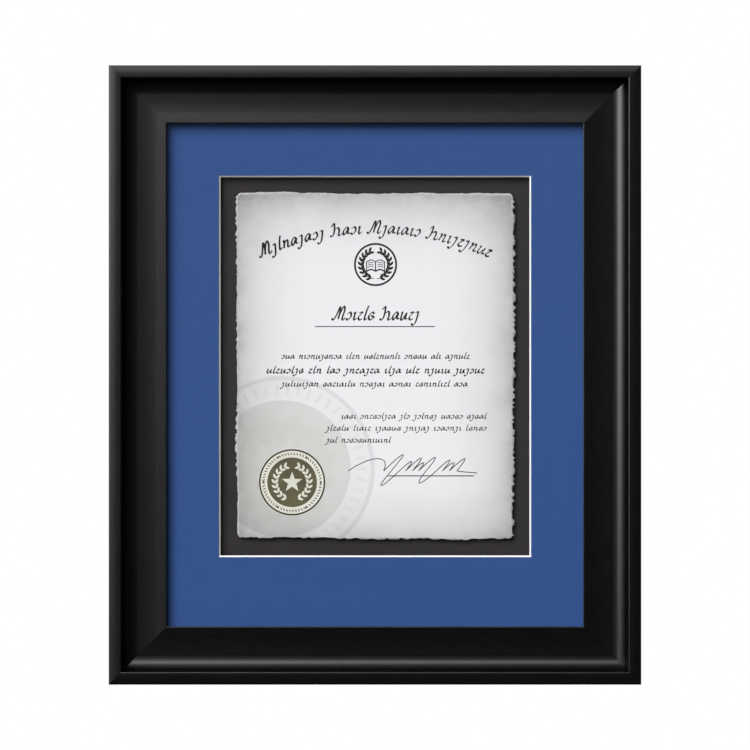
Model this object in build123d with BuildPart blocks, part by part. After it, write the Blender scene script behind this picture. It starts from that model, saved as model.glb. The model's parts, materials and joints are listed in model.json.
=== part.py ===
from build123d import *
import math
import os

# A wall-hung certificate frame: a mitred moulding around glass, a bevelled mat and a sheet that
# floats over a dark board, closed at the rear by a board under turn buttons.
# Lengths are in millimetres. X runs to the viewer's right, Z runs up and the front faces -Y.
# The origin is the centre of the frame's rear plane.

# Floating sheet with torn edges, and the pad that lifts it
sheet_width = 203.2
sheet_height = 254.0
sheet_thickness = 0.4
float_pad_thickness = 3.0
float_pad_inset = 15.0
tear_depth = 1.1
tear_pitch_upright = 2.9
tear_pitch_level = 3.8
tear_corner = 2.4

# Mat window around the sheet, and the mat's borders inside the sight edge
window_margin = 12.7
border_side = 38.1
border_top = 38.1
border_bottom = 50.8
bevel_angle = 45.0
spacer_setback = 8.0
spacer_gap = 0.4

# Moulding section, from the sight edge outwards: a slope that falls away from the sight edge and
# flattens out in a dip, a cove that turns up to the lip's wall, and a lip with a low crown
moulding_width = 42.3
sight_lip_thickness = 6.0
sight_nose_radius = 0.7
slope_angle = 9.3
slope_run = 7.8
cove_radius = 11.3
lip_width = 9.5
lip_wall = 4.0
lip_crown_radius = 22.6
lip_crown_setback = 2.3
lip_inner_radius = 1.2
lip_outer_radius = 1.5
rear_edge_radius = 0.8
rabbet_width = 7.15

# Flat package that lies in the rabbet, from the front to the rear
package_clearance = 0.8
glazing_thickness = 2.0
glazing_seam = 0.3
mat_face_thickness = 0.3
mat_core_thickness = 1.2
spacer_thickness = 5.0
mount_board_thickness = 1.5
backing_thickness = 3.0

# V-nails across the mitres
nail_height = 10.0
nail_leg = 5.0
nail_thickness = 0.5
nail_half_angle = 58.0
nail_setback = 13.5
nail_pitch = 12.0

# Turn buttons and their screws
button_thickness = 1.0
button_length = 22.0
button_pivot_radius = 6.0
button_tip_radius = 4.0
button_setback = 18.2
button_level_share = 0.6
button_upright_share = 0.45
button_rib_length = 7.0
button_rib_radius = 1.6
button_rib_height = 0.5
button_rib_start = 8.5
button_edge_chamfer = 0.2
button_screw_radius = 1.5
button_screw_length = 12.0
button_screw_head_radius = 3.2
button_screw_head_height = 1.9
pivot_clearance = 0.06
button_gap = 0.05

# Ring hangers: a folded strap around a D-shaped wire ring, held by one screw
ring_wire_radius = 1.1
ring_inner_width = 16.0
ring_arm = 9.0
ring_bend_radius = 3.0
ring_rest_gap = 0.3
strap_sheet = 0.9
strap_width = 10.0
strap_length = 14.5
strap_end_radius = 4.5
strap_screw_drop = 8.5
hanger_setback = 25.0
hanger_rise_share = 0.76
strap_screw_radius = 1.7
strap_screw_length = 14.0
strap_screw_head_radius = 3.3
strap_screw_head_height = 2.1
pilot_clearance = 0.05
screw_point_length = 3.0

# Soft bumpers low on the rear
bumper_radius = 5.5
bumper_height = 3.5
bumper_edge_radius = 0.9
bumper_setback = 25.0
bumper_end_distance = 36.7

# Sizes that follow from these
window_width = sheet_width + 2 * window_margin
window_height = sheet_height + 2 * window_margin
window_centre = (border_bottom - border_top) / 2
sight_width = window_width + 2 * border_side
sight_height = window_height + border_top + border_bottom
package_width = sight_width + 2 * (rabbet_width - package_clearance)
package_height = sight_height + 2 * (rabbet_width - package_clearance)
backing_front = -backing_thickness
mount_front = backing_front - mount_board_thickness
spacer_front = mount_front - spacer_thickness
core_front = spacer_front - mat_core_thickness
face_front = core_front - mat_face_thickness
glazing_front = face_front - glazing_thickness
rabbet_depth = -glazing_front
bevel_run = mat_core_thickness / math.tan(math.radians(bevel_angle))
foot_width = window_width - 2 * bevel_run
foot_height = window_height - 2 * bevel_run
pad_front = mount_front - float_pad_thickness
sight_top = rabbet_depth + sight_lip_thickness
lip_start = moulding_width - lip_width
dip_radius = (lip_start - cove_radius - slope_run) / math.sin(math.radians(slope_angle))
lip_rise_angle = math.degrees(math.asin(lip_crown_setback / lip_crown_radius))
lip_fall_angle = math.degrees(math.asin((lip_width - lip_crown_setback) / lip_crown_radius))
knuckle_radius = ring_wire_radius + pivot_clearance + strap_sheet
button_run_level = button_level_share * sight_width / 2
button_run_upright = button_upright_share * sight_height / 2
hanger_run = hanger_rise_share * sight_height / 2
hanger_screw_run = hanger_run - strap_screw_drop
bumper_run = sight_width / 2 + moulding_width - bumper_end_distance
ring_half_width = ring_inner_width / 2 + ring_wire_radius
ring_height = ring_arm + ring_half_width
ring_lean = math.asin((knuckle_radius - ring_wire_radius - ring_rest_gap) / ring_height)

rightwards = Vector(1, 0, 0)
rearwards = Vector(0, 1, 0)
upwards = Vector(0, 0, 1)

# Each side of the frame: the way out from the centre, the way along it, and half the sight
# opening across it and along it
sides = {
    "top": (upwards, rightwards, sight_height / 2, sight_width / 2),
    "bottom": (-upwards, rightwards, sight_height / 2, sight_width / 2),
    "left": (-rightwards, upwards, sight_width / 2, sight_height / 2),
    "right": (rightwards, upwards, sight_width / 2, sight_height / 2),
}

os.makedirs("parts", exist_ok=True)


def save(piece, name):
    """Labels a finished piece and writes it."""
    piece.part.label = name
    export_step(piece.part, f"parts/{name}.step")


def layer(rear):
    """Plane of a flat layer whose rear face lies at that depth, facing the front."""
    return Plane(origin=(0, rear, 0), x_dir=rightwards, z_dir=-rearwards)


def rear_seat(side, setback, run, lift=0):
    """Plane on the frame's rear, facing the wall, its X pointing in from the named side."""
    out, along, half_across, _ = sides[side]
    spot = out * (half_across + setback) + along * run + rearwards * lift
    return Plane(origin=spot, x_dir=-out, z_dir=rearwards)


# Places of the rear hardware
button_seats = {}
for side, run in (
    ("top", button_run_level),
    ("bottom", button_run_level),
    ("left", button_run_upright),
    ("right", button_run_upright),
):
    low_word, high_word = ("left", "right") if side in ("top", "bottom") else ("lower", "upper")
    button_seats[f"{side}_{low_word}"] = (side, -run)
    button_seats[f"{side}_{high_word}"] = (side, run)


# Corner V-nails: two across each mitre, driven from the rear
with BuildPart() as corner_v_nails:
    for x_sign in (-1, 1):
        for z_sign in (-1, 1):
            diagonal = Vector(x_sign, 0, z_sign)
            corner = Vector(x_sign * sight_width / 2, 0, z_sign * sight_height / 2)
            for step in range(2):
                spot = corner + diagonal * (nail_setback + nail_pitch * step)
                with BuildSketch(Plane(origin=spot, x_dir=diagonal, z_dir=rearwards)):
                    with BuildLine():
                        leg_x = nail_leg * math.cos(math.radians(nail_half_angle))
                        leg_y = nail_leg * math.sin(math.radians(nail_half_angle))
                        Polyline((leg_x, -leg_y), (0, 0), (leg_x, leg_y))
                        offset(amount=nail_thickness / 2, kind=Kind.INTERSECTION)
                    make_face()
                extrude(amount=-nail_height)
save(corner_v_nails, "corner_v_nails")


# Section of the moulding: X runs outwards from the sight edge, Y from the rear plane forwards
with BuildSketch() as moulding_section:
    with BuildLine():
        Polyline((rabbet_width, 0), (rabbet_width, rabbet_depth), (0, rabbet_depth), (0, sight_top))
        slope = Line((0, sight_top), (slope_run, sight_top - slope_run * math.tan(math.radians(slope_angle))))
        dip = JernArc(slope @ 1, slope % 1, dip_radius, slope_angle)
        cove = JernArc(dip @ 1, dip % 1, cove_radius, 90)
        lip_height = (cove @ 1).Y + lip_wall
        Line(cove @ 1, (lip_start, lip_height))
        rising = (math.cos(math.radians(lip_rise_angle)), math.sin(math.radians(lip_rise_angle)))
        lip = JernArc((lip_start, lip_height), rising, lip_crown_radius, -lip_rise_angle - lip_fall_angle)
        Polyline(lip @ 1, (moulding_width, 0), (rabbet_width, 0))
    make_face()
    for corner, radius in (
        ((0, sight_top), sight_nose_radius),
        ((lip_start, lip_height), lip_inner_radius),
        (lip @ 1, lip_outer_radius),
        ((moulding_width, 0), rear_edge_radius),
    ):
        fillet(moulding_section.vertices().sort_by_distance(corner)[0], radius=radius)


def frame_side(name, side):
    """One mitred length of moulding, with its V-nail slots and screw holes."""
    out, _, half_across, half_along = sides[side]
    section_plane = Plane(origin=out * half_across, x_dir=out, z_dir=out.cross(-rearwards))
    run = section_plane.z_dir
    with BuildPart() as length:
        with BuildSketch(section_plane):
            add(moulding_section.sketch)
        extrude(amount=half_along + moulding_width, both=True)
        for end in (run, -run):
            mitre = Plane(origin=out * half_across + end * half_along, z_dir=end - out)
            split(bisect_by=mitre, keep=Keep.BOTTOM)
        add(corner_v_nails.part, mode=Mode.SUBTRACT)
        with Locations(*[rear_seat(s, button_setback, at) for s, at in button_seats.values() if s == side]):
            Hole(radius=button_screw_radius + pilot_clearance, depth=button_screw_length)
        if side in ("left", "right"):
            with Locations(rear_seat(side, hanger_setback, hanger_screw_run)):
                Hole(radius=strap_screw_radius + pilot_clearance, depth=strap_screw_length)
    save(length, name)


frame_side("frame_top_rail", "top")
frame_side("frame_bottom_rail", "bottom")
frame_side("frame_left_stile", "left")
frame_side("frame_right_stile", "right")

# Glass, with seamed edges
with BuildPart() as glazing_sheet:
    with BuildSketch(layer(face_front)):
        Rectangle(package_width, package_height)
    extrude(amount=glazing_thickness)
    chamfer(glazing_sheet.edges().filter_by(Axis.Y, reverse=True), length=glazing_seam)
save(glazing_sheet, "glazing_sheet")

# Coloured face paper of the mat, with its window
with BuildPart() as mat_face_paper:
    with BuildSketch(layer(core_front)):
        Rectangle(package_width, package_height)
        with Locations((0, window_centre)):
            Rectangle(window_width, window_height, mode=Mode.SUBTRACT)
    extrude(amount=mat_face_thickness)
save(mat_face_paper, "mat_face_paper")

# White core of the mat, its window cut on a bevel that shows from the front
with BuildPart() as mat_core:
    with BuildSketch(layer(spacer_front)):
        Rectangle(package_width, package_height)
    extrude(amount=mat_core_thickness)
    with BuildSketch(layer(spacer_front)):
        with Locations((0, window_centre)):
            Rectangle(foot_width, foot_height)
    with BuildSketch(layer(core_front)):
        with Locations((0, window_centre)):
            Rectangle(window_width, window_height)
    loft(mode=Mode.SUBTRACT)
save(mat_core, "mat_core")


def spacer_strip(name, x_low, x_high, z_low, z_high):
    """A strip of foam board between the mat and the dark board, between those edges."""
    with BuildPart() as strip:
        with BuildSketch(layer(mount_front)):
            with Locations(((x_low + x_high) / 2, (z_low + z_high) / 2)):
                Rectangle(x_high - x_low, z_high - z_low)
        extrude(amount=spacer_thickness)
    save(strip, name)


strip_outer_x = package_width / 2
strip_outer_z = package_height / 2
strip_inner_x = foot_width / 2 + spacer_setback
strip_top_z = window_centre + foot_height / 2 + spacer_setback
strip_bottom_z = window_centre - foot_height / 2 - spacer_setback
side_top_z = strip_top_z - spacer_gap
side_bottom_z = strip_bottom_z + spacer_gap
spacer_strip("spacer_top", -strip_outer_x, strip_outer_x, strip_top_z, strip_outer_z)
spacer_strip("spacer_bottom", -strip_outer_x, strip_outer_x, -strip_outer_z, strip_bottom_z)
spacer_strip("spacer_left", -strip_outer_x, -strip_inner_x, side_bottom_z, side_top_z)
spacer_strip("spacer_right", strip_inner_x, strip_outer_x, side_bottom_z, side_top_z)

# Dark board that the sheet floats over
with BuildPart() as mount_board:
    with BuildSketch(layer(backing_front)):
        Rectangle(package_width, package_height)
    extrude(amount=mount_board_thickness)
save(mount_board, "mount_board")

# Pad that lifts the sheet off the dark board
with BuildPart() as float_pad:
    with BuildSketch(layer(mount_front)):
        with Locations((0, window_centre)):
            Rectangle(sheet_width - 2 * float_pad_inset, sheet_height - 2 * float_pad_inset)
    extrude(amount=float_pad_thickness)
save(float_pad, "float_pad")


def torn_edge(length, pitch, seed):
    """Places along one torn edge and how far the tear cuts in there, in uneven teeth."""
    steps = round((length - 2 * tear_corner) / pitch)
    golden = (math.sqrt(5) - 1) / 2
    for i in range(steps + 1):
        tooth = (golden * (i + seed) * (i + seed)) % 1
        wave = (1 + math.sin(i / math.pi + seed)) / 2
        yield tear_corner + (length - 2 * tear_corner) * i / steps, tear_depth * (2 * tooth + wave) / 3


def torn_outline():
    """The sheet's outline, anticlockwise from its lower left corner."""
    half_x = sheet_width / 2
    half_z = sheet_height / 2
    points = [(at - half_x, cut - half_z) for at, cut in torn_edge(sheet_width, tear_pitch_level, 1)]
    points += [(half_x - cut, at - half_z) for at, cut in torn_edge(sheet_height, tear_pitch_upright, 2)]
    points += [(half_x - at, half_z - cut) for at, cut in torn_edge(sheet_width, tear_pitch_level, 3)]
    points += [(cut - half_x, half_z - at) for at, cut in torn_edge(sheet_height, tear_pitch_upright, 4)]
    return points


# Certificate sheet with torn edges
with BuildPart() as certificate_sheet:
    with BuildSketch(layer(pad_front)):
        with Locations((0, window_centre)):
            Polygon(*torn_outline(), align=None)
    extrude(amount=sheet_thickness)
save(certificate_sheet, "certificate_sheet")

# Backing board, flush with the moulding's rear
with BuildPart() as backing_board:
    with BuildSketch(layer(0)):
        Rectangle(package_width, package_height)
    extrude(amount=backing_thickness)
save(backing_board, "backing_board")


def turn_button(name, seat):
    """A pressed turn button, its pivot hole at the seat and its tip pointing in from the side."""
    with BuildPart() as button:
        with BuildSketch(seat):
            Circle(button_pivot_radius)
            with Locations((button_length - button_tip_radius, 0)):
                Circle(button_tip_radius)
            make_hull()
        extrude(amount=button_thickness)
        chamfer(button.faces().sort_by(Axis.Y)[-1].edges(), length=button_edge_chamfer)
        with BuildSketch(seat.offset(button_thickness)):
            with Locations((button_rib_start + button_rib_length / 2, 0)):
                SlotCenterToCenter(button_rib_length, 2 * button_rib_radius)
        extrude(amount=button_rib_height)
        chamfer(button.faces().sort_by(Axis.Y)[-1].edges(), length=button_edge_chamfer)
        with Locations(seat.offset(button_thickness)):
            Hole(radius=button_screw_radius + pivot_clearance)
    save(button, name)


for spot, (side, run) in button_seats.items():
    turn_button(f"turn_button_{spot}", rear_seat(side, button_setback, run, button_gap))


def pan_head_screws(name, seats, radius, length, head_radius, head_height):
    """Pan head screws, one per seat plane under the head, their points in the wood."""
    with BuildPart() as screws:
        for seat in seats:
            with BuildSketch(Plane(origin=seat.origin, x_dir=seat.x_dir, z_dir=-seat.y_dir)):
                with BuildLine():
                    rim = head_height / 2
                    Polyline(
                        (0, head_height),
                        (0, -length),
                        (radius, screw_point_length - length),
                        (radius, 0),
                        (head_radius, 0),
                        (head_radius, rim),
                    )
                    crown = JernArc((head_radius, rim), (0, 1), head_height - rim, 90)
                    Line(crown @ 1, (0, head_height))
                make_face()
            revolve(axis=Axis(seat.origin, seat.z_dir))
    save(screws, name)


button_grip = button_thickness + 2 * button_gap
pan_head_screws(
    "turn_button_screws",
    [rear_seat(side, button_setback, run, button_grip) for side, run in button_seats.values()],
    button_screw_radius,
    button_screw_length,
    button_screw_head_radius,
    button_screw_head_height,
)
strap_grip = 2 * strap_sheet
pan_head_screws(
    "hanger_screws",
    [rear_seat(side, hanger_setback, hanger_screw_run, strap_grip) for side in ("left", "right")],
    strap_screw_radius,
    strap_screw_length,
    strap_screw_head_radius,
    strap_screw_head_height,
)


def hanger_strap(name, side):
    """A folded strap, its knuckle around the ring's bar and its tail below, flat on the wood."""
    pivot = rear_seat(side, hanger_setback, hanger_run).origin
    with BuildPart() as strap:
        flank = pivot - rightwards * strap_width / 2
        with BuildSketch(Plane(origin=flank, x_dir=rearwards, z_dir=rightwards)):
            with Locations((knuckle_radius, 0)):
                Circle(knuckle_radius)
            Rectangle(strap_grip, strap_length, align=(Align.MIN, Align.MAX))
            with Locations((knuckle_radius, 0)):
                Circle(ring_wire_radius + pivot_clearance, mode=Mode.SUBTRACT)
        extrude(amount=strap_width)
        tail_corners = strap.edges().filter_by(Axis.Y).group_by(Axis.Z)[0]
        fillet(tail_corners, radius=strap_end_radius)
        with Locations(rear_seat(side, hanger_setback, hanger_screw_run, strap_grip)):
            Hole(radius=strap_screw_radius + pilot_clearance, depth=strap_grip)
    save(strap, name)


def hanger_ring(name, side):
    """A D-shaped wire ring, its bar in the knuckle and its bow up, leaning on the frame."""
    bar_centre = rear_seat(side, hanger_setback, hanger_run, knuckle_radius).origin
    facing = -rearwards * math.cos(ring_lean) - upwards * math.sin(ring_lean)
    ring_plane = Plane(origin=bar_centre, x_dir=rightwards, z_dir=facing)
    with BuildPart() as ring:
        with BuildLine(ring_plane) as bow:
            bend = ring_half_width - ring_bend_radius
            bar = Line((-bend, 0), (bend, 0))
            right_bend = JernArc(bar @ 1, bar % 1, ring_bend_radius, 90)
            right_arm = Line(right_bend @ 1, (ring_half_width, ring_arm))
            top = JernArc(right_arm @ 1, right_arm % 1, ring_half_width, 180)
            left_arm = Line(top @ 1, (-ring_half_width, ring_bend_radius))
            JernArc(left_arm @ 1, left_arm % 1, ring_bend_radius, 90)
        with BuildSketch(Plane(origin=bow.line @ 0, z_dir=bow.line % 0)):
            Circle(ring_wire_radius)
        sweep()
    save(ring, name)


for side in ("left", "right"):
    hanger_strap(f"hanger_strap_{side}", side)
    hanger_ring(f"hanger_ring_{side}", side)


def wall_bumper(name, run):
    """A soft bumper stuck low on the rear, flat where it meets the wall."""
    with BuildPart() as bumper:
        with BuildSketch(rear_seat("bottom", bumper_setback, run)):
            Circle(bumper_radius)
        extrude(amount=bumper_height)
        fillet(bumper.faces().sort_by(Axis.Y)[-1].edges(), radius=bumper_edge_radius)
    save(bumper, name)


wall_bumper("wall_bumper_left", -bumper_run)
wall_bumper("wall_bumper_right", bumper_run)
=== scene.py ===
import json
import math
import random

import bmesh
import bpy
from mathutils import Matrix, Vector, noise


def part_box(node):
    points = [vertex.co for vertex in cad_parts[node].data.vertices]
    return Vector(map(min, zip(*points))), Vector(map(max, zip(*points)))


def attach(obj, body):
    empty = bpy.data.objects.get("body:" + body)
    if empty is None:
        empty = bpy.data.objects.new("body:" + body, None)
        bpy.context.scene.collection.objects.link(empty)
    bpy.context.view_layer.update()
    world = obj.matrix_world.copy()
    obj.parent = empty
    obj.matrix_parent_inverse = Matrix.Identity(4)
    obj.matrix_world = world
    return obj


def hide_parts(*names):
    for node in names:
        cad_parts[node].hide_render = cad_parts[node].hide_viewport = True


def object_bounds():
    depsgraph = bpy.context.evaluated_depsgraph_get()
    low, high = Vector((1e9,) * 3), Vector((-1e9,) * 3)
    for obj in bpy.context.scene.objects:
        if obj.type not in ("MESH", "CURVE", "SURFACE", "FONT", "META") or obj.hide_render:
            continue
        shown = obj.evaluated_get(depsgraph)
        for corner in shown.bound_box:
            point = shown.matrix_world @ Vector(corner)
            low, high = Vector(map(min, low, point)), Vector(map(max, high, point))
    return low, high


# The looks of a certificate frame: black satin moulding, blue mat with a white bevel, a torn-edged
# sheet floating over a charcoal board, and plated hardware on a brown backing board.
# Lengths are in metres, in the CAD frame: X to the viewer's right, Z up, the front facing -Y.

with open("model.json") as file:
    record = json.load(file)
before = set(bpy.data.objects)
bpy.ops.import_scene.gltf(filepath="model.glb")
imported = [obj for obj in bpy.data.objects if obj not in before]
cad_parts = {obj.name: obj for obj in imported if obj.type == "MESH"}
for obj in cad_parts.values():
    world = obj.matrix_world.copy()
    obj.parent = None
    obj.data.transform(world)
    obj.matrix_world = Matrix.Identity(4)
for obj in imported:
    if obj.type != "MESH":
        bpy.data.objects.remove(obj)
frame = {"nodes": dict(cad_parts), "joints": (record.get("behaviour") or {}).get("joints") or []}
cad_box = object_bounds()
nodes = frame["nodes"]
MM = 0.001

# Places read from the CAD part
sheet_front, sheet_back = (Vector(corner).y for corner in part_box("certificate_sheet"))
frame_low, frame_high = (Vector(corner) for corner in cad_box)
# The mat is deeper at the foot, so the sheet sits this much above the middle
sheet_middle = Vector((0.0, 6.35 * MM))

# Sheet: its cut size, its corners and its torn edge
SHEET_WIDTH = 203.2 * MM
SHEET_HEIGHT = 254.0 * MM
SHEET_CORNER = 4.2 * MM
TEAR_STEP = 0.4 * MM
TEAR_LEFT = 1.3 * MM
TEAR_RIGHT = 1.8 * MM
TEAR_TOP = 0.6 * MM
TEAR_FOOT = 1.0 * MM
TEAR_FINE = 0.35 * MM
TEAR_SWAY = 1.3 * MM
TEAR_FRINGE = 1.6 * MM
TORN_THICKNESS = 0.1 * MM
EVEN_SHARE = 0.9
# Its fade towards the edges: the depth it reaches, and the grey at shares of that depth
FADE_REACH = 60 * MM
FADE_STOPS = (
    (0.0, 0.53), (0.04, 0.59), (0.1, 0.685), (0.17, 0.755),
    (0.24, 0.805), (0.37, 0.885), (0.66, 0.97), (0.95, 1.0),
)

# Glass: how far its rear face stands off the mat, and the seam ground along its edges
GLASS_STANDOFF = 0.05 * MM
GLASS_SEAM = 0.3 * MM

# Print: ink films this thick lie on the sheet, drawn with a broad nib held at a slant
INK_FILM = 0.02 * MM
NIB_ANGLE = math.radians(38)
NIB_THIN_SHARE = 0.3
HEADING_CROWN = 103.8 * MM
HEADING_RADIUS = 206.9 * MM
HEADING_REACH = 86.2 * MM
HEADING_RISE = 5.3 * MM
HEADING_PEN = 1.6 * MM
HEADING_GROUPS = (9, 4, 7, 9)
NAME_LOW = -31 * MM
NAME_HIGH = 32.5 * MM
NAME_HEIGHT = 40.4 * MM
NAME_RISE = 5.6 * MM
NAME_PEN = 1.65 * MM
NAME_GROUPS = (6, 5)
NAME_RULE_REACH = 43.9 * MM
NAME_RULE_HEIGHT = 35.5 * MM
NAME_RULE_WIDTH = 0.65 * MM
EMBLEM_PLACE = (0.4 * MM, 80.9 * MM)
EMBLEM_RADIUS = 15.7 * MM
EMBLEM_SPRAY = 10.4 * MM
BOOK_HALF = 6.6 * MM
BOOK_TOP = 2.0 * MM
BOOK_DEPTH = 7.0 * MM
SEAL_PLACE = (-60.7 * MM, -78.6 * MM)
SEAL_RADIUS = 24.3 * MM
SEAL_DISC = 18.2 * MM
SEAL_SPRAY = 12.4 * MM
SEAL_MARKS = 60
STAR_TIP = 7.8 * MM
STAR_NOTCH = 3.2 * MM
ROSETTE_PLACE = (-68.0 * MM, -68.7 * MM)
ROSETTE_RADIUS = 66.5 * MM
ROSETTE_REACH = 1.04
ROSETTE_PETALS = 12
ROSETTE_DASHES = 46
ROSETTE_LOBE_SHARE = 0.045
ROSETTE_BAND_SHARE = 0.87
LOWER_RULE_LOW = 9.6 * MM
LOWER_RULE_HIGH = 72.5 * MM
LOWER_RULE_HEIGHT = -73.9 * MM
LOWER_RULE_WIDTH = 0.75 * MM
MARK_SLANT = 0.3
WORD_GAP = 0.7
MARK_PITCH = 1.2
ROUND_SIDES = 96
# Pen marks, in x-heights: how far each moves the pen on, then its strokes
PEN_MARKS = (
    (0.6, ((0.0, 0.8), (0.16, 1.0), (0.18, 0.25), (0.32, 0.0), (0.5, 0.25))),
    (0.75, ((0.0, 0.75), (0.3, 1.0), (0.52, 0.5), (0.28, 0.0), (0.02, 0.2))),
    (0.95, ((0.55, 0.85), (0.3, 1.0), (0.05, 0.45), (0.26, 0.0), (0.6, 0.9), (0.6, 0.2), (0.9, 0.2))),
    (
        1.0,
        ((0.0, 0.85), (0.15, 1.0), (0.15, 0.0)),
        ((0.15, 0.5), (0.45, 1.0), (0.6, 0.7), (0.6, 0.15), (0.75, 0.0), (0.9, 0.2)),
    ),
    (1.0, ((0.0, 0.85), (0.12, 1.0), (0.12, 0.2), (0.35, 0.0), (0.65, 0.95), (0.64, 0.15), (0.92, 0.2))),
    (0.7, ((0.05, 0.9), (0.45, 1.0), (0.1, 0.35), (0.3, 0.0), (0.6, 0.15))),
    (0.85, ((0.6, 0.75), (0.35, 1.0), (0.05, 0.5), (0.3, 0.0), (0.7, 0.3), (0.3, 0.55))),
    (0.55, ((0.25, 1.85), (0.16, 1.2), (0.16, 0.2), (0.3, 0.0), (0.48, 0.22))),
    (0.7, ((0.0, 0.9), (0.3, 1.0), (0.32, -0.25), (0.1, -0.68), (-0.12, -0.45))),
)
TALL_MARKS = (
    (
        1.55,
        ((-0.15, 0.2), (0.1, 0.0), (0.3, 0.7), (0.45, 1.75), (0.6, 1.0), (0.62, 0.1)),
        ((0.62, 0.6), (0.85, 1.75), (1.1, 1.3), (1.08, 0.25), (1.25, 0.0), (1.45, 0.3)),
    ),
    (
        1.35,
        ((-0.1, 1.3), (0.15, 1.75), (0.3, 1.0), (0.3, 0.3), (0.15, 0.0), (-0.1, 0.15)),
        ((0.3, 0.8), (0.7, 1.1), (0.9, 0.6), (0.9, 0.15), (1.05, 0.0), (1.3, 0.25)),
    ),
)
# Flourish: where it starts, its foot line, its pen, and its strokes as (pitch, reach) in millimetres
FLOURISH_LOW = -19.6 * MM
FLOURISH_FEET = -70.2 * MM
FLOURISH_PEN = 0.62 * MM
FLOURISH_SLANT = 0.95
FLOURISH_LOOP = 0.13
FLOURISH_TAIL = (15 * MM, -1.6 * MM)
FLOURISH_STROKES = (
    (26.0, 9.0), (5.5, 12.0), (6.0, -11.0), (4.5, 7.0), (5.0, 9.5), (4.5, 6.0),
    (5.5, 10.0), (7.5, -9.0), (4.5, 8.0), (5.0, 6.0), (5.5, 9.0),
)
# Text lines: from, to, height, x-height and pen width, in millimetres
TEXT_LINES = (
    (-68.7, 69.5, 12.0, 2.5, 1.0),
    (-79.7, 80.4, 1.4, 2.9, 1.25),
    (-68.7, 68.0, -8.3, 2.5, 1.0),
    (-24.9, 81.9, -31.9, 2.4, 0.92),
    (-35.8, 81.9, -40.6, 2.4, 0.92),
    (-35.8, 11.7, -49.4, 2.4, 0.92),
)

# Moulding: the width of its outer lip, and where the hollow beside it ends, from the outer edge; in that
# hollow the lacquer's reflection is cut to HOLLOW_SHINE, as painted shade
LIP_WIDTH = 9.5 * MM
HOLLOW_END = (11.8 * MM, 12.6 * MM)
HOLLOW_SHINE = 0.03

# Hardware: the height of the line between the two plies of a hanger's strap, and the screws' thread
STRAP_PLY = 0.9 * MM
THREAD_PITCH = 1.1 * MM
THREAD_CREST = 0.45 * MM
SCREW_SIDES = 40


def grey(value):
    """A neutral colour of that linear value."""
    return (value, value, value, 1.0)


def srgb(red, green, blue):
    """A colour given as 0 to 255 screen values, in linear light."""
    linear = []
    for value in (red, green, blue):
        share = value / 255
        linear.append(share / 12.92 if share <= 0.04045 else ((share + 0.055) / 1.055) ** 2.4)
    return (*linear, 1.0)


# Node helpers


def put(node, **values):
    """Sets a node's inputs to constants; an underscore stands for a space in an input's name."""
    for name, value in values.items():
        node.inputs[name.replace("_", " ")].default_value = value


def place(tree):
    """The point on the object, in metres."""
    return tree.nodes.new("ShaderNodeTexCoord").outputs["Object"]


def new_material(name, colour, roughness, metallic=0.0, specular=0.5):
    """A Principled material, its node tree and shader, and the point on the object."""
    material = bpy.data.materials.new(name)
    material.use_nodes = True
    tree = material.node_tree
    shader = tree.nodes["Principled BSDF"]
    put(shader, Base_Color=colour, Roughness=roughness, Metallic=metallic, Specular_IOR_Level=specular)
    return material, tree, shader, place(tree)


def open_material(name):
    """A material without a shader yet, its node tree and its surface socket."""
    material = bpy.data.materials.new(name)
    material.use_nodes = True
    tree = material.node_tree
    tree.nodes.remove(tree.nodes["Principled BSDF"])
    return material, tree, tree.nodes["Material Output"].inputs["Surface"]


def feed(tree, sockets, values):
    """Gives each socket its value, which is a constant or another socket."""
    for socket, value in zip(sockets, values):
        if isinstance(value, (int, float, tuple)):
            socket.default_value = value
        else:
            tree.links.new(value, socket)


def calc(tree, operation, *values):
    """A Math node whose inputs are sockets or numbers."""
    node = tree.nodes.new("ShaderNodeMath")
    node.operation = operation
    feed(tree, node.inputs, values)
    return node.outputs[0]


def distance(tree, first, second):
    """The distance that two legs at right angles make up."""
    squares = [calc(tree, "MULTIPLY", value, value) for value in (first, second)]
    return calc(tree, "SQRT", calc(tree, "ADD", *squares))


def weighed(tree, first, second, share):
    """The sum of two values, the first taken in that share and the second in the rest."""
    part = calc(tree, "MULTIPLY", first, share)
    return calc(tree, "ADD", part, calc(tree, "MULTIPLY", second, 1 - share))


def axes_of(tree, vector):
    """The X, Y and Z sockets of a vector."""
    node = tree.nodes.new("ShaderNodeSeparateXYZ")
    tree.links.new(vector, node.inputs[0])
    return node.outputs


def noise_node(tree, vector, size, detail=3.0, rough=0.5, stretch=(1, 1, 1)):
    """Noise from 0 to 1 with features of about that size, stretched along the axes."""
    mapping = tree.nodes.new("ShaderNodeMapping")
    put(mapping, Scale=[1 / factor for factor in stretch])
    tree.links.new(vector, mapping.inputs["Vector"])
    node = tree.nodes.new("ShaderNodeTexNoise")
    put(node, Scale=1 / size, Detail=detail, Roughness=rough)
    tree.links.new(mapping.outputs[0], node.inputs["Vector"])
    return node.outputs["Fac"]


def ramp(tree, factor, *stops):
    """A colour ramp through (place, colour) stops."""
    node = tree.nodes.new("ShaderNodeValToRGB")
    tree.links.new(factor, node.inputs["Fac"])
    elements = node.color_ramp.elements
    while len(elements) < len(stops):
        elements.new(0.5)
    for element, (at, colour) in zip(elements, stops):
        element.position = at
        element.color = colour
    return node.outputs["Color"]


def grey_ramp(tree, factor, *stops):
    """A ramp of greys through (place, value) stops."""
    return ramp(tree, factor, *[(at, grey(value)) for at, value in stops])


def span(tree, value, low, high, out_low=0.0, out_high=1.0):
    """value mapped from low..high to out_low..out_high, and held there."""
    node = tree.nodes.new("ShaderNodeMapRange")
    put(node, From_Min=low, From_Max=high, To_Min=out_low, To_Max=out_high)
    tree.links.new(value, node.inputs["Value"])
    return node.outputs["Result"]


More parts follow.
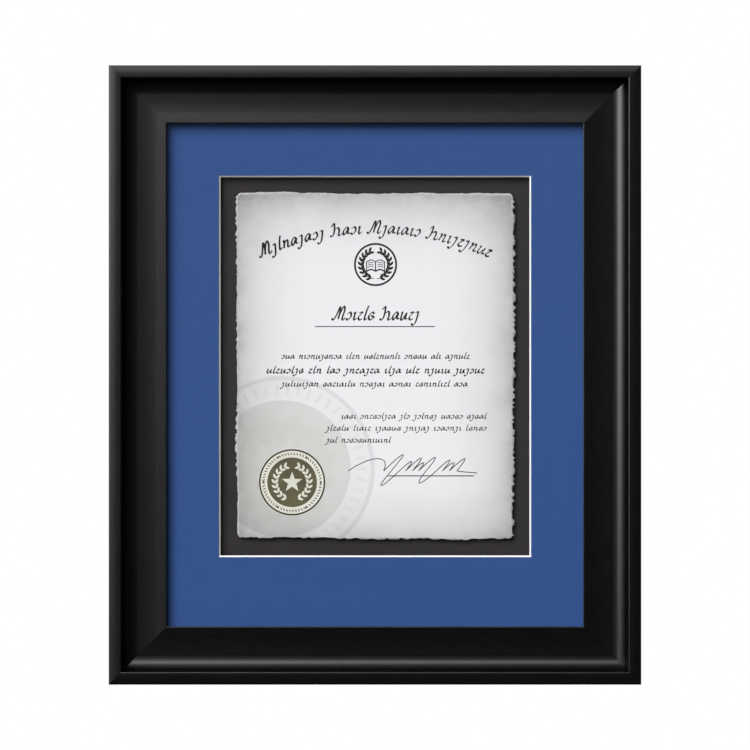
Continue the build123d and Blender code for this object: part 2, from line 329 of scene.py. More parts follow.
def mix(tree, factor, first, second, blend="MIX"):
    """first and second colours mixed by factor; each is a socket or a colour."""
    node = tree.nodes.new("ShaderNodeMix")
    node.data_type = "RGBA"
    node.blend_type = blend
    feed(tree, (node.inputs[0], node.inputs[6], node.inputs[7]), (factor, first, second))
    return node.outputs[2]


def coat(tree, shader, colour, rough=None, height=None, depth=0.0, strength=0.5):
    """Links a colour, a roughness, and a bump of that depth in metres from a height of 0 to 1."""
    tree.links.new(colour, shader.inputs["Base Color"])
    if rough is not None:
        tree.links.new(rough, shader.inputs["Roughness"])
    if height is not None:
        node = tree.nodes.new("ShaderNodeBump")
        put(node, Strength=strength, Distance=depth)
        tree.links.new(height, node.inputs["Height"])
        tree.links.new(node.outputs[0], shader.inputs["Normal"])


# Materials


def lacquer(name, along):
    """Black satin lacquer on wood whose bare grain shows at the rear, along the X or Z axis."""
    material, tree, shader, point = new_material(name, grey(0.003), 0.3)
    x, y, z = axes_of(tree, point)
    # Faint flow marks along the length, and a hairline where two rails meet
    flow = noise_node(tree, point, 0.9 * MM, 3.0, 0.55, (14, 1, 1) if along == "X" else (1, 1, 14))
    peel = noise_node(tree, point, 1.6 * MM, 2.0)
    from_side = calc(tree, "SUBTRACT", frame_high.x, calc(tree, "ABSOLUTE", x))
    from_top = calc(tree, "SUBTRACT", frame_high.z, calc(tree, "ABSOLUTE", z))
    off_mitre = calc(tree, "ABSOLUTE", calc(tree, "SUBTRACT", from_side, from_top))
    joint = span(tree, off_mitre, 0.1 * MM, 0.25 * MM)
    paint = ramp(tree, flow, (0.3, grey(0.0022)), (0.75, grey(0.0036)))
    # Bare wood at the rear, its edge softened by overspray
    grain_stretch = (22, 1, 1) if along == "X" else (1, 1, 22)
    grain = noise_node(tree, point, 1.3 * MM, 6.0, 0.62, grain_stretch)
    broad = noise_node(tree, point, 9 * MM, 2.0, 0.5, grain_stretch)
    pale = mix(tree, grain, srgb(206, 172, 126), srgb(158, 118, 78))
    wood = mix(tree, span(tree, broad, 0.35, 0.7, 0.0, 0.45), pale, srgb(180, 140, 96))
    spray = noise_node(tree, point, 1.1 * MM, 4.0, 0.7)
    drift = calc(tree, "MULTIPLY_ADD", spray, 0.9 * MM, y)
    bare = span(tree, drift, 0.1 * MM, 0.4 * MM)
    seam_tone = mix(tree, joint, grey(0.12), grey(1.0))
    tone = mix(tree, 1.0, mix(tree, bare, paint, wood), seam_tone, "MULTIPLY")
    # Painted shade: the lacquer's reflection is cut in the hollow below the outer lip, so that the hollow
    # shows as a dark line
    from_edge = calc(tree, "MINIMUM", from_side, from_top)
    past_lip = span(tree, from_edge, LIP_WIDTH - 0.4 * MM, LIP_WIDTH)
    painted_shade_hollow = calc(tree, "MULTIPLY", past_lip, span(tree, from_edge, *HOLLOW_END, 1.0, 0.0))
    # The mask of the painted shade in the hollow, kept off the bare wood at the rear
    darkened = calc(tree, "MULTIPLY", painted_shade_hollow, calc(tree, "SUBTRACT", 1.0, bare))
    tree.links.new(span(tree, darkened, 0.0, 1.0, 0.5, HOLLOW_SHINE), shader.inputs["Specular IOR Level"])
    satin = span(tree, flow, 0.2, 0.8, 0.27, 0.33)
    fine = calc(tree, "MULTIPLY_ADD", flow, 0.35, calc(tree, "MULTIPLY", peel, 0.5))
    height = calc(tree, "MULTIPLY_ADD", joint, 3.0, fine)
    coat(tree, shader, tone, mix(tree, bare, satin, grey(0.72)), height, 0.015 * MM)
    return material


def mat_paper(name, colour, other, tooth):
    """Mat or board paper: faint fibres and a fine tooth."""
    material, tree, shader, point = new_material(name, colour, 0.86, specular=0.1)
    fibre = noise_node(tree, point, 0.55 * MM, 5.0, 0.65)
    cloud = noise_node(tree, point, 11 * MM, 2.0)
    blend = weighed(tree, fibre, cloud, 0.75)
    tone = mix(tree, span(tree, blend, 0.33, 0.67), colour, other)
    coat(tree, shader, tone, span(tree, fibre, 0.3, 0.7, 0.8, 0.94), fibre, tooth, 0.6)
    return material


def parchment():
    """Sheet stock: bright in the middle, smoky at the edges, with a pale rosette low on the left."""
    material, tree, shader, point = new_material("parchment", srgb(242, 241, 244), 0.82, specular=0.12)
    x, _, z = axes_of(tree, point)
    up = calc(tree, "SUBTRACT", z, sheet_middle.y)
    smoke = noise_node(tree, point, 24 * MM, 4.0, 0.55)
    wisps = noise_node(tree, point, 6 * MM, 4.0, 0.6)
    drift = calc(tree, "MULTIPLY", calc(tree, "SUBTRACT", smoke, 0.5), 14 * MM)
    wisp = calc(tree, "MULTIPLY", calc(tree, "SUBTRACT", wisps, 0.5), 4 * MM)
    unrest = calc(tree, "ADD", drift, wisp)
    stock = rosette_tint(tree, x, z)
    # The bright middle lies a little left of centre and low
    for value, shift, reach in (
        (x, 1.0 * MM, SHEET_WIDTH / 2 + 0.7 * MM),
        (up, 2.5 * MM, SHEET_HEIGHT / 2 + 2.0 * MM),
    ):
        off_middle = calc(tree, "ABSOLUTE", calc(tree, "ADD", value, shift))
        inside = calc(tree, "ADD", calc(tree, "SUBTRACT", reach, off_middle), unrest)
        fade = grey_ramp(tree, span(tree, inside, 0.0, FADE_REACH), *FADE_STOPS)
        stock = mix(tree, 1.0, stock, fade, "MULTIPLY")
    stock = mix(tree, 1.0, stock, srgb(240, 239, 242), "MULTIPLY")
    fibre = noise_node(tree, point, 0.7 * MM, 5.0, 0.7)
    flecked = mix(tree, span(tree, fibre, 0.3, 0.75, 0.0, 0.05), stock, srgb(150, 146, 140))
    coat(tree, shader, flecked, span(tree, fibre, 0.3, 0.7, 0.76, 0.9), fibre, 0.03 * MM)
    return material


def rosette_tint(tree, x, z):
    """Tints that multiply the stock: rings and petals of a faint rosette, low on the left."""
    across = calc(tree, "SUBTRACT", x, ROSETTE_PLACE[0])
    up = calc(tree, "SUBTRACT", z, ROSETTE_PLACE[1])
    radius = distance(tree, across, up)
    turn = calc(tree, "ARCTAN2", up, across)
    petals = calc(tree, "COSINE", calc(tree, "MULTIPLY", turn, ROSETTE_PETALS))
    lobe = calc(tree, "MULTIPLY", petals, ROSETTE_RADIUS * ROSETTE_LOBE_SHARE)
    waved = calc(tree, "ADD", radius, lobe)
    plain = grey(1.0)
    line = (0.85, 0.845, 0.855, 1.0)
    band = (0.96, 0.96, 0.95, 1.0)
    shade = (0.81, 0.81, 0.775, 1.0)
    petal = (0.955, 0.955, 0.945, 1.0)
    edge = ROSETTE_RADIUS * ROSETTE_REACH
    inner = (0.0, shade), (0.72, shade), (0.73, band), (0.93, band)
    outer = (0.945, line), (0.97, line), (0.99, plain)
    rings = ramp(tree, calc(tree, "DIVIDE", radius, edge), *inner, *outer)
    stops = (0.0, plain), (0.29, plain), (0.3, petal), (0.54, petal), (0.55, plain)
    flower = ramp(tree, calc(tree, "DIVIDE", waved, edge), *stops)
    # Short soft dashes all round the band
    beat = calc(tree, "COSINE", calc(tree, "MULTIPLY", turn, ROSETTE_DASHES))
    past_band = calc(tree, "SUBTRACT", radius, ROSETTE_RADIUS * ROSETTE_BAND_SHARE)
    off_band = calc(tree, "ABSOLUTE", past_band)
    in_band = span(tree, off_band, ROSETTE_RADIUS * 0.05, ROSETTE_RADIUS * 0.06, 1.0, 0.0)
    dash = calc(tree, "MULTIPLY", span(tree, beat, 0.55, 0.8), in_band)
    dashes = mix(tree, calc(tree, "MULTIPLY", dash, 0.5), plain, line)
    return mix(tree, 1.0, mix(tree, 1.0, rings, flower, "MULTIPLY"), dashes, "MULTIPLY")


def torn_fibre():
    """The sheet's torn rim: pale, soft and lumpy."""
    material, tree, shader, point = new_material("torn_fibre", srgb(205, 202, 203), 0.95, specular=0.15)
    tuft = noise_node(tree, point, 0.5 * MM, 4.0, 0.75)
    patch = noise_node(tree, point, 4 * MM, 2.0)
    blend = weighed(tree, tuft, patch, 0.6)
    colour = mix(tree, span(tree, blend, 0.35, 0.62), srgb(160, 157, 159), srgb(206, 204, 206))
    coat(tree, shader, colour, height=tuft, depth=0.2 * MM, strength=0.9)
    return material


def hardboard():
    """Brown hardboard: smooth pressed face with darker fibres and faint scuffs."""
    material, tree, shader, point = new_material("hardboard", srgb(124, 88, 60), 0.55)
    fibre = noise_node(tree, point, 0.8 * MM, 6.0, 0.7, (1, 1, 3))
    cloud = noise_node(tree, point, 34 * MM, 3.0, 0.6)
    scuff = noise_node(tree, point, 6 * MM, 5.0, 0.8, (5, 1, 1))
    brown = ramp(tree, fibre, (0.32, srgb(96, 66, 44)), (0.5, srgb(122, 87, 60)), (0.7, srgb(142, 106, 76)))
    clouded = mix(tree, span(tree, cloud, 0.35, 0.65, 0.0, 0.35), brown, srgb(104, 74, 52))
    worn = mix(tree, span(tree, scuff, 0.66, 0.8, 0.0, 0.25), clouded, srgb(168, 136, 104))
    coat(tree, shader, worn, span(tree, fibre, 0.3, 0.7, 0.46, 0.68), fibre, 0.05 * MM)
    return material


def plated(name, colour, roughness, brushed=False, fold=False):
    """Plated steel: brushed or tumbled, with a dulled film; fold draws the line between two plies."""
    material, tree, shader, point = new_material(name, colour, roughness, 1.0)
    lines = noise_node(tree, point, 0.25 * MM, 3.0, 0.6, (1, 1, 9) if brushed else (1, 1, 1))
    film = noise_node(tree, point, 3.5 * MM, 3.0, 0.6)
    darkened = tuple(0.72 * value for value in colour[:3]) + (1.0,)
    tone = mix(tree, span(tree, film, 0.35, 0.7, 0.0, 0.7), colour, darkened)
    if fold:
        _, y, _ = axes_of(tree, point)
        off = calc(tree, "ABSOLUTE", calc(tree, "SUBTRACT", y, STRAP_PLY))
        tone = mix(tree, span(tree, off, 0.03 * MM, 0.09 * MM), grey(0.03), tone)
    rough = span(tree, lines, 0.25, 0.75, roughness - 0.07, roughness + 0.09)
    coat(tree, shader, tone, rough, lines, 0.01 * MM)
    return material


def bumper_rubber():
    """Dark rubber with a fine moulded texture."""
    material, tree, shader, point = new_material("bumper_rubber", grey(0.018), 0.7)
    pebble = noise_node(tree, point, 0.35 * MM, 3.0)
    dust = noise_node(tree, point, 2.2 * MM, 4.0, 0.7)
    tone = mix(tree, span(tree, dust, 0.5, 0.8, 0.0, 0.35), grey(0.016), grey(0.06))
    coat(tree, shader, tone, height=pebble, depth=0.05 * MM, strength=0.7)
    return material


def foam_board():
    """White foam board: smooth paper faces over a fine-celled core."""
    material, tree, shader, point = new_material("foam_board", srgb(236, 236, 234), 0.8)
    cells = tree.nodes.new("ShaderNodeTexVoronoi")
    put(cells, Scale=1 / (0.7 * MM))
    tree.links.new(point, cells.inputs["Vector"])
    depth = cells.outputs["Distance"]
    tone = mix(tree, span(tree, depth, 0.0, 0.7), srgb(240, 240, 238), srgb(222, 222, 219))
    coat(tree, shader, tone, height=depth, depth=0.08 * MM)
    return material


def clear_glass():
    """Low-glare picture glass: clear from the front, shining at a slant, alike from both sides."""
    material, tree, surface = open_material("clear_glass")
    smear = noise_node(tree, place(tree), 60 * MM, 3.0, 0.6)
    gloss = tree.nodes.new("ShaderNodeBsdfGlossy")
    put(gloss, Color=(0.96, 1.0, 0.98, 1.0))
    tree.links.new(span(tree, smear, 0.3, 0.7, 0.02, 0.05), gloss.inputs["Roughness"])
    clear = tree.nodes.new("ShaderNodeBsdfTransparent")
    put(clear, Color=(0.998, 1.0, 0.999, 1.0))
    slant = tree.nodes.new("ShaderNodeLayerWeight")
    put(slant, Blend=0.5)
    stops = (0.0, 0.012), (0.4, 0.02), (0.6, 0.06), (0.8, 0.25), (1.0, 1.0)
    shine = grey_ramp(tree, slant.outputs["Facing"], *stops)
    blend = tree.nodes.new("ShaderNodeMixShader")
    feed(tree, blend.inputs, (shine, clear.outputs[0], gloss.outputs[0]))
    tree.links.new(blend.outputs[0], surface)
    return material


def ink(name, colour, other=None):
    """Printing ink, a little uneven where it has soaked in; it drifts towards a second colour."""
    material, tree, shader, point = new_material(name, colour, 0.6, specular=0.25)
    soak = noise_node(tree, point, 0.9 * MM, 4.0, 0.7)
    lighter = tuple(min(1.0, value * 1.25 + 0.012) for value in colour[:3]) + (1.0,)
    tone = mix(tree, span(tree, soak, 0.4, 0.75), colour, lighter)
    if other:
        drift = noise_node(tree, point, 15 * MM, 2.0)
        tone = mix(tree, span(tree, drift, 0.35, 0.62), tone, other)
    coat(tree, shader, tone)
    return material


def dress(material, *names):
    """Gives CAD nodes a material."""
    for name in names:
        mesh = nodes[name].data
        mesh.materials.clear()
        mesh.materials.append(material)


def placed(name, data):
    """An object of that mesh, light or camera in the scene."""
    obj = bpy.data.objects.new(name, data)
    bpy.context.scene.collection.objects.link(obj)
    return obj


def as_object(mesh, name):
    """A plain object of a bmesh."""
    data = bpy.data.meshes.new(name)
    mesh.to_mesh(data)
    mesh.free()
    return placed(name, data)


def finished(name, mesh, *materials, slot, body="frame", film=0.0):
    """Makes an object of a bmesh, with its materials, riding on a body; film gives it that thickness."""
    obj = as_object(mesh, name)
    for material in materials:
        obj.data.materials.append(material)
    if film:
        solidify = obj.modifiers.new("film", "SOLIDIFY")
        solidify.thickness = film
        solidify.offset = -1.0
    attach(obj, body)
    return obj


# Sheet with torn edges


def towards(angle):
    """The unit vector at that angle."""
    return Vector((math.cos(angle), math.sin(angle)))


def rounded_walk(width, height, radius, step):
    """Points and outward normals, anticlockwise, around a rectangle with round corners."""
    for turn in range(4):
        sign_x = 1 if turn in (0, 3) else -1
        sign_z = 1 if turn < 2 else -1
        centre = Vector((sign_x * (width / 2 - radius), sign_z * (height / 2 - radius)))
        bends = max(2, round(radius * math.pi / 2 / step))
        for i in range(bends):
            normal = towards((turn + i / bends) * math.pi / 2)
            yield centre + normal * radius, normal
        normal = towards((turn + 1) * math.pi / 2)
        run = Vector((-normal.y, normal.x))
        length = (height if turn % 2 else width) - 2 * radius
        count = round(length / step)
        for i in range(count):
            yield centre + normal * radius + run * length * i / count, normal


def bridge(mesh, low, high):
    """Faces from one ring of points to the next, either of which may be a single point."""
    count = max(len(low), len(high))
    faces = []
    for i in range(count):
        j = (i + 1) % count
        corners = [low[i % len(low)], low[j % len(low)], high[j % len(high)], high[i % len(high)]]
        faces.append(mesh.faces.new(list(dict.fromkeys(corners))))
    return faces


def wobble(point, size, seed):
    """Smooth noise from about -1 to 1 over the sheet, with features of that size."""
    return noise.noise(Vector((point.x / size, point.y / size, seed)))


def spikes(point, size, seed, sharpness):
    """Narrow peaks from 0 to 1, about that far apart."""
    return max(0.0, 1.0 - sharpness * abs(wobble(point, size, seed)))


def tear(point, normal):
    """How far the torn edge lies outside the cut line: tips up the sides, scallops along the foot."""
    left = max(0.0, -normal.x) ** 2
    right = max(0.0, normal.x) ** 2
    top = max(0.0, normal.y) ** 2
    foot = max(0.0, -normal.y) ** 2
    fine = TEAR_FINE * wobble(point, 1.4 * MM, 2.5)
    tips = spikes(point, 3.9 * MM, 0.5, 2.6)
    calm = min(1.0, max(0.2, 0.6 + 1.6 * wobble(point, 38 * MM, 1.5)))
    roll = wobble(point, 9 * MM, 4.5) + 0.4 * wobble(point, 2.6 * MM, 5.5)
    notch = spikes(point, 6.5 * MM, 6.5, 3.2)
    out_left = left * TEAR_LEFT * (calm * tips - 0.35)
    out_right = right * TEAR_RIGHT * (tips - 0.28)
    return out_left + out_right + top * TEAR_TOP * roll + foot * (-0.5 * MM - TEAR_FOOT * notch) + fine


def torn_sheet():
    """The sheet: a flat face whose rim thins out to a ragged, fibrous edge."""
    mesh = bmesh.new()
    rim_back, rim_front, face_edge = [], [], []
    for point, normal in rounded_walk(SHEET_WIDTH, SHEET_HEIGHT, SHEET_CORNER, TEAR_STEP):
        settled = point + normal * TEAR_SWAY * wobble(point, 46 * MM, 8.5)
        outer = settled + normal * tear(point, normal)
        inner = settled - normal * (TEAR_FRINGE + 0.5 * MM * wobble(point, 7 * MM, 9.5))
        lift = 0.1 * MM * (1 + wobble(point, 9 * MM, 3.0)) / 2
        front = sheet_front + lift
        for ring, spot, y in (
            (rim_back, outer, front + TORN_THICKNESS),
            (rim_front, outer, front),
            (face_edge, inner, sheet_front),
        ):
            ring.append(mesh.verts.new((spot.x + sheet_middle.x, y, spot.y + sheet_middle.y)))
    back_edge = [mesh.verts.new((vert.co.x, sheet_back, vert.co.z)) for vert in face_edge]
    for first, second in ((rim_back, rim_front), (rim_front, face_edge), (back_edge, rim_back)):
        for face in bridge(mesh, first, second):
            face.material_index = 1
            face.smooth = True
    # Flat faces: an even ring, then a fan to the middle
    for edge, y in ((face_edge, sheet_front), (back_edge, sheet_back)):
        middle = mesh.verts.new((sheet_middle.x, y, sheet_middle.y))
        even = []
        for point, normal in rounded_walk(SHEET_WIDTH, SHEET_HEIGHT, SHEET_CORNER, TEAR_STEP):
            spot = sheet_middle + EVEN_SHARE * point
            even.append(mesh.verts.new((spot.x, y, spot.y)))
        bridge(mesh, edge, even)
        bridge(mesh, even, [middle])
    bmesh.ops.recalc_face_normals(mesh, faces=mesh.faces)
    sheet = finished("certificate_paper", mesh, parchment(), torn_fibre(), slot="parchment")
    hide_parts("certificate_sheet")


def picture_glass():
    """The glass, its edges seamed, its rear face a hair off the mat it rests on."""
    low, high = (Vector(corner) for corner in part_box("glazing_sheet"))
    high.y -= GLASS_STANDOFF
    mesh = bmesh.new()
    bmesh.ops.create_cube(mesh, size=1.0)
    mesh.transform(Matrix.Translation((low + high) / 2) @ Matrix.Diagonal((*(high - low), 1.0)))
    bmesh.ops.bevel(mesh, geom=mesh.edges[:], offset=GLASS_SEAM, segments=1, affect="EDGES")
    glass = finished("picture_glass", mesh, clear_glass(), slot="glazing")
    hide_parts("glazing_sheet")


# Pen strokes and print


def on_sheet(mesh, spot, layer=1):
    """A new point of ink, that many films above the sheet."""
    return mesh.verts.new((spot[0], sheet_front - INK_FILM * layer, spot[1]))


def stroke(mesh, points, width, broad_nib=False):
    """A pen stroke along points of the sheet's plane; a broad nib draws it thick and thin."""
    last = len(points) - 1
    left, right = [], []
    for i, point in enumerate(points):
        before = Vector(points[max(i - 1, 0)])
        after = Vector(points[min(i + 1, last)])
        along = (after - before).normalized()
        slant = math.sin(math.atan2(along.y, along.x) - NIB_ANGLE)
        share = NIB_THIN_SHARE + (1 - NIB_THIN_SHARE) * abs(slant) if broad_nib else 1.0
        side = Vector((-along.y, along.x)) * width * share / 2
        left.append(on_sheet(mesh, Vector(point) + side))
        right.append(on_sheet(mesh, Vector(point) - side))
    for i in range(last):
        mesh.faces.new((left[i], right[i], right[i + 1], left[i + 1]))


def round_spots(centre, radius, sides=ROUND_SIDES):
    """Points around a circle of the sheet's plane."""
    for i in range(sides):
        yield Vector(centre) + radius * towards(2 * math.pi * i / sides)


def disc(mesh, centre, radius, layer, sides=ROUND_SIDES):
    """A filled disc in the sheet's plane."""
    mesh.faces.new([on_sheet(mesh, spot, layer) for spot in round_spots(centre, radius, sides)])


def ring(mesh, centre, outer, inner, layer=1):
    """A flat ring in the sheet's plane."""
    far = [on_sheet(mesh, spot, layer) for spot in round_spots(centre, outer)]
    near = [on_sheet(mesh, spot, layer) for spot in round_spots(centre, inner)]
    bridge(mesh, far, near)


def leaf(mesh, root, angle, length, width, layer):
    """A pointed leaf in the sheet's plane."""
    along = towards(angle)
    across = Vector((-along.y, along.x))
    steps = 6
    there = [(i / steps, -1) for i in range(steps + 1)]
    back = [(i / steps, 1) for i in range(steps - 1, 0, -1)]
    spots = []
    for share, side in there + back:
        bulge = math.sin(math.pi * share) ** 0.8 * width / 2 * side if 0 < share < 1 else 0.0
        spots.append(Vector(root) + along * length * share + across * bulge)
    mesh.faces.new([on_sheet(mesh, spot, layer) for spot in spots])


def sprays(mesh, centre, radius, low, high, count, length, width, layer):
    """Two sprays of paired leaves that climb either side of a centre, from angle low to high."""
    for side in (1, -1):
        for i in range(count):
            angle = math.radians(low + (high - low) * i / (count - 1))
            root = Vector(centre) + radius * Vector((side * math.cos(angle), math.sin(angle)))
            for tilt in (0.62, -0.62):
                aim = angle + math.pi / 2 + tilt
                leaf(mesh, root, aim if side == 1 else math.pi - aim, length, width, layer)


def straight(baseline):
    """Lays a line of marks level at that height."""
    return lambda along, up: (along, baseline + up)


def arched(crown, radius):
    """Lays a line of marks over an arch whose crown is at that height."""
    return lambda along, up: (
        (radius + up) * math.sin(along / radius),
        crown - radius + (radius + up) * math.cos(along / radius),
    )


def word_lengths(room, dice):
    """Numbers of marks in word-like groups that fill the room, a gap taking one mark."""
    lengths = []
    while room >= 3:
        marks = min(dice.randint(3, 10), int(room))
        if room - marks < 4:
            marks = int(room)
        lengths.append(marks)
        room -= marks + 1
    return lengths


def eased(points, steps):
    """A smooth path through points."""
    ends = [Vector(points[0])] + [Vector(point) for point in points] + [Vector(points[-1])]
    path = []
    for before, start, stop, after in zip(ends, ends[1:], ends[2:], ends[3:]):
        for i in range(steps):
            t = i / steps
            curve = (stop - before) * t + (2 * before - 5 * start + 4 * stop - after) * t * t
            path.append(start + 0.5 * (curve + (3 * start - before - 3 * stop + after) * t * t * t))
    return path + [ends[-1]]


def marks_line(mesh, lay, low, high, rise, weight, seed, groups=()):
    """A line of slanted pen marks in word-like groups, which spell nothing; groups start tall if given."""
    dice = random.Random(seed)
    lengths = groups or word_lengths((high - low) / (MARK_PITCH * rise), dice)
    words = []
    mark = None
    for order, length in enumerate(lengths):
        word = []
        for _ in range(length):
            mark = dice.choice([other for other in PEN_MARKS if other != mark])
            word.append(mark)
        if groups:
            word[0] = TALL_MARKS[order % len(TALL_MARKS)]
        words.append(word)
    room = sum(mark[0] for word in words for mark in word) + WORD_GAP * (len(words) - 1)
    pitch = (high - low) / room
    at = low
    for word in words:
        for advance, *strokes in word:
            for points in strokes:
                spots = [(at + pitch * x + MARK_SLANT * rise * y, rise * y) for x, y in eased(points, 5)]
                stroke(mesh, [lay(*spot) for spot in spots], weight, broad_nib=True)
            at += pitch * advance
        at += pitch * WORD_GAP


def rule(mesh, low, high, height, thickness):
    """A thin ruled line."""
    stroke(mesh, [(low, height), (high, height)], thickness)


def flourish(mesh):
    """A free pen flourish over the lower rule: a long sweep, slanted strokes of uneven reach, a tail."""
    points = []
    at = FLOURISH_LOW
    steps = 14
    for pitch, reach in FLOURISH_STROKES:
        for i in range(steps):
            share = i / steps
            up = reach * MM * (0.5 - 0.5 * math.cos(2 * math.pi * share))
            loop = FLOURISH_LOOP * math.sin(2 * math.pi * share)
            x = at + pitch * MM * (share - loop) + FLOURISH_SLANT * up
            points.append((x, FLOURISH_FEET + up))
        at += pitch * MM
    run, drop = FLOURISH_TAIL
    for i in range(steps + 1):
        share = i / steps
        points.append((at + run * share, FLOURISH_FEET + drop * share ** 0.7))
    stroke(mesh, points, FLOURISH_PEN)


def emblem(mesh):
    """A ringed open book between two laurel sprays."""
    centre = Vector(EMBLEM_PLACE)
    ring(mesh, centre, EMBLEM_RADIUS + 0.1 * MM, EMBLEM_RADIUS - 1.3 * MM)
    leaves = {"low": -72, "high": 62, "count": 9, "length": 4.2 * MM, "width": 1.8 * MM}
    sprays(mesh, centre, EMBLEM_SPRAY, **leaves, layer=1)
    for side in (1, -1):
        stem = []
        for i in range(25):
            angle = math.radians(-84 + 150 * i / 24)
            stem.append(centre + EMBLEM_SPRAY * Vector((side * math.cos(angle), math.sin(angle))))
        stroke(mesh, stem, 0.55 * MM)
        page = []
        for i in range(9):
            share = i / 8
            lift = BOOK_TOP + 1.4 * MM * math.sin(math.pi * share)
            page.append(centre + Vector((side * BOOK_HALF * share, lift)))
        foot = [spot - Vector((0, BOOK_DEPTH)) for spot in page]
        stroke(mesh, page, 0.7 * MM)
        stroke(mesh, foot, 1.0 * MM)
        stroke(mesh, [page[-1], foot[-1]], 0.7 * MM)
        for line in range(3):
            drop = Vector((0, (1.7 + 1.5 * line) * MM))
            stroke(mesh, [spot - drop for spot in page[2:8]], 0.5 * MM)
    spine = [centre + Vector((0, BOOK_TOP)), centre + Vector((0, BOOK_TOP - BOOK_DEPTH))]
    stroke(mesh, spine, 0.8 * MM)


def seal():
    """A printed seal: dark line, pale band with beads and leaves, olive disc with a star and laurel."""
    dark, pale, olive, bright = bmesh.new(), bmesh.new(), bmesh.new(), bmesh.new()
    disc(pale, SEAL_PLACE, SEAL_RADIUS + 0.3 * MM, layer=1)
    ring(dark, SEAL_PLACE, SEAL_RADIUS, SEAL_RADIUS - 1.2 * MM, layer=2)
    disc(olive, SEAL_PLACE, SEAL_DISC, layer=2)
    band = (SEAL_RADIUS + SEAL_DISC) / 2 - 0.3 * MM
    for i in range(SEAL_MARKS):
        angle = 2 * math.pi * i / SEAL_MARKS
        out = towards(angle)
        spot = Vector(SEAL_PLACE) + band * out
        if i % 10:
            leaf(dark, spot - 1.1 * MM * out, angle + 0.5, 2.4 * MM, 0.8 * MM, layer=2)
        else:
            disc(dark, spot, 0.85 * MM, layer=2, sides=16)
    spots = []
    for i in range(10):
        radius = STAR_NOTCH if i % 2 else STAR_TIP
        spots.append(Vector(SEAL_PLACE) + radius * towards(math.pi / 2 + math.pi * i / 5))
    bright.faces.new([on_sheet(bright, spot, layer=3) for spot in spots])
    leaves = {"low": -70, "high": 62, "count": 9, "length": 4.2 * MM, "width": 1.9 * MM}
    sprays(bright, SEAL_PLACE, SEAL_SPRAY, **leaves, layer=3)
    for name, mesh, colour, other in (
        ("seal_ground", pale, srgb(226, 224, 215), srgb(220, 217, 203)),
        ("seal_lines", dark, srgb(44, 43, 34), srgb(54, 50, 42)),
        ("seal_disc", olive, srgb(96, 91, 64), srgb(84, 77, 60)),
        ("seal_motif", bright, srgb(222, 222, 210), srgb(214, 213, 198)),
    ):
        finished(name, mesh, ink(name + "_ink", colour, other), slot="parchment", film=INK_FILM)


def printed_lines():
    """All the black print: arched heading, name line, text lines, rules, flourish and emblem."""
    mesh = bmesh.new()
    arch = arched(HEADING_CROWN, HEADING_RADIUS)
    ends = (-HEADING_REACH, HEADING_REACH)
    marks_line(mesh, arch, *ends, HEADING_RISE, HEADING_PEN, seed=11, groups=HEADING_GROUPS)
    level = straight(NAME_HEIGHT)
    marks_line(mesh, level, NAME_LOW, NAME_HIGH, NAME_RISE, NAME_PEN, seed=23, groups=NAME_GROUPS)
    rule(mesh, -NAME_RULE_REACH, NAME_RULE_REACH, NAME_RULE_HEIGHT, NAME_RULE_WIDTH)
    for order, line in enumerate(TEXT_LINES):
        low, high, height, rise, weight = (value * MM for value in line)
        marks_line(mesh, straight(height), low, high, rise, weight, seed=31 + 5 * order)
    rule(mesh, LOWER_RULE_LOW, LOWER_RULE_HIGH, LOWER_RULE_HEIGHT, LOWER_RULE_WIDTH)
    flourish(mesh)
    emblem(mesh)
    finished("printed_lines", mesh, ink("black_ink", grey(0.008)), slot="parchment", film=INK_FILM)


# Screws


def lathe(mesh, profile, sides):
    """Turns a profile of (radius, height) about the Y axis into a closed solid."""
    rings = []
    for radius, height in profile:
        if radius == 0:
            rings.append([mesh.verts.new((0, height, 0))])
            continue
        spots = []
        for i in range(sides):
            angle = 2 * math.pi * i / sides
            spots.append(mesh.verts.new((radius * math.cos(angle), height, radius * math.sin(angle))))
        rings.append(spots)
    for low, high in zip(rings, rings[1:]):
        bridge(mesh, low, high)
    bmesh.ops.recalc_face_normals(mesh, faces=mesh.faces)


def cross_cutter(reach, width, low, high, taper):
    """A cross-shaped plug that narrows inward, to cut a driver's recess."""
    mesh = bmesh.new()
    half = width / 2
    outline = [(reach, -half), (reach, half), (half, half)]
    loops = []
    for height, share in ((high, 1.0), (low, taper)):
        loop = []
        for quarter in range(4):
            turn = Matrix.Rotation(quarter * math.pi / 2, 2)
            for across, up in outline:
                spot = turn @ Vector((across, up))
                loop.append(mesh.verts.new((spot.x * share, height, spot.y * share)))
        loops.append(loop)
    bridge(mesh, *loops)
    mesh.faces.new(loops[0])
    mesh.faces.new(list(reversed(loops[1])))
    bmesh.ops.recalc_face_normals(mesh, faces=mesh.faces)
    return mesh


